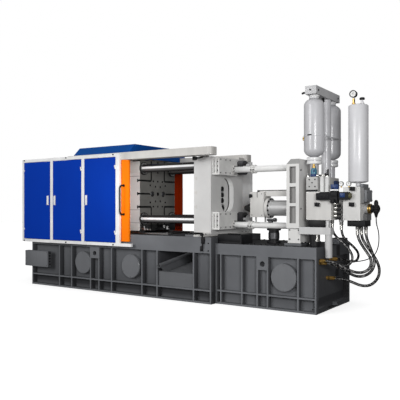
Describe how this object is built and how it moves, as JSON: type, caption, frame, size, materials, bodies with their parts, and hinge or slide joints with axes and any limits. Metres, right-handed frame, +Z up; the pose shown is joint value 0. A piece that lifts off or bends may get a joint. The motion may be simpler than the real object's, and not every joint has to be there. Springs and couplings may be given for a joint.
{
  "type": "cold chamber die casting machine",
  "caption": "Cold chamber die casting machine with guarded clamp, tie bar platens, shot frame, hydraulic blocks and accumulators on a ribbed base.",
  "frame": {"origin": "middle of the base length and depth, on the floor", "axes": "+X from clamp end to shot end, -Y operator side, +Z up"},
  "size_m": [5.7252, 1.5885, 2.75],
  "materials": {
    "base_paint": "satin",
    "machine_paint": "satin",
    "frame_white": "satin",
    "panel_blue": "gloss",
    "door_orange": "satin",
    "bottle_paint": "gloss",
    "machined_steel": "machined",
    "chrome": "polished",
    "black_steel": "satin",
    "black_plastic": "matte",
    "black_rubber": "matte",
    "brass": "plain",
    "black_hose": "matte"
  },
  "bodies": {
    "machine": {"accumulator_head": "bottle_paint", "accumulator_pipes": "bottle_paint", "accumulators": "bottle_paint", "base_beams": "base_paint", "base_clamp_section": "base_paint", "base_covers": "base_paint", "base_low_sections": "base_paint", "base_plates": "base_paint", "base_ribs": "base_paint", "base_stiffeners": "base_paint", "casting_chute": "base_paint", "clamp_cylinder": "machine_paint", "connector_blocks": "black_plastic", "drip_tray": "black_steel", "end_guard": "frame_white", "end_manifold": "machine_paint", "fixed_platen": "machine_paint", "front_door_track": "frame_white", "front_guard_frame": "frame_white", "front_manifold": "machine_paint", "guard_panels": "panel_blue", "hood": "panel_blue", "hose_fittings": "brass", "hose_inner_far": "black_hose", "hose_inner_near": "black_hose", "hose_outer": "black_hose", "hose_short_far": "black_hose", "hose_short_near": "black_hose", "junction_box": "base_paint", "levelling_jack": "black_steel", "manifold_fittings": "machined_steel", "nitrogen_bottle": "bottle_paint", "plunger_coupling": "machine_paint", "plunger_rod": "machined_steel", "rear_door_track": "frame_white", "rear_guard_frame": "frame_white", "rear_manifold": "machine_paint", "sensor_cable": "black_hose", "shot_cylinder": "machined_steel", "shot_frame": "machine_paint", "shot_frame_rods": "machine_paint", "slide_ways": "machined_steel", "solenoid_valves": "black_plastic", "tail_platen": "machine_paint", "tie_bar_nuts": "machine_paint", "tie_bars": "chrome", "valve_arm": "frame_white", "valve_block": "machine_paint"},
    "moving_platen_body": {"moving_platen": "machine_paint", "platen_bushings": "black_rubber", "platen_shoes": "machined_steel", "clamp_rod": "chrome"},
    "guard_door_1_body": {"guard_door_1": "panel_blue"},
    "guard_door_2_body": {"guard_door_2": "panel_blue"},
    "guard_door_3_body": {"guard_door_3": "panel_blue"},
    "front_safety_door_body": {"front_safety_door": "door_orange", "front_door_handle": "black_plastic"},
    "rear_safety_door_body": {"rear_safety_door": "door_orange", "rear_door_handle": "black_plastic"}
  },
  "joints": [
    {"name": "moving_platen_slide", "type": "slide", "parent": "machine", "child": "moving_platen_body", "axis": [1, 0, 0], "range_m": [0, 0.5]},
    {"name": "guard_door_1_hinge", "type": "hinge", "parent": "machine", "child": "guard_door_1_body", "pos_m": [-2.558, -0.779, 1.375], "axis": [0, 0, -1], "range_deg": [0, 100]},
    {"name": "guard_door_2_hinge", "type": "hinge", "parent": "machine", "child": "guard_door_2_body", "pos_m": [-1.21933, -0.779, 1.375], "axis": [0, 0, 1], "range_deg": [0, 100]},
    {"name": "guard_door_3_hinge", "type": "hinge", "parent": "machine", "child": "guard_door_3_body", "pos_m": [-0.52, -0.779, 1.375], "axis": [0, 0, 1], "range_deg": [0, 100]},
    {"name": "front_safety_door_slide", "type": "slide", "parent": "machine", "child": "front_safety_door_body", "axis": [1, 0, 0], "range_m": [0, 1]},
    {"name": "rear_safety_door_slide", "type": "slide", "parent": "machine", "child": "rear_safety_door_body", "axis": [1, 0, 0], "range_m": [0, 1]}
  ]
}
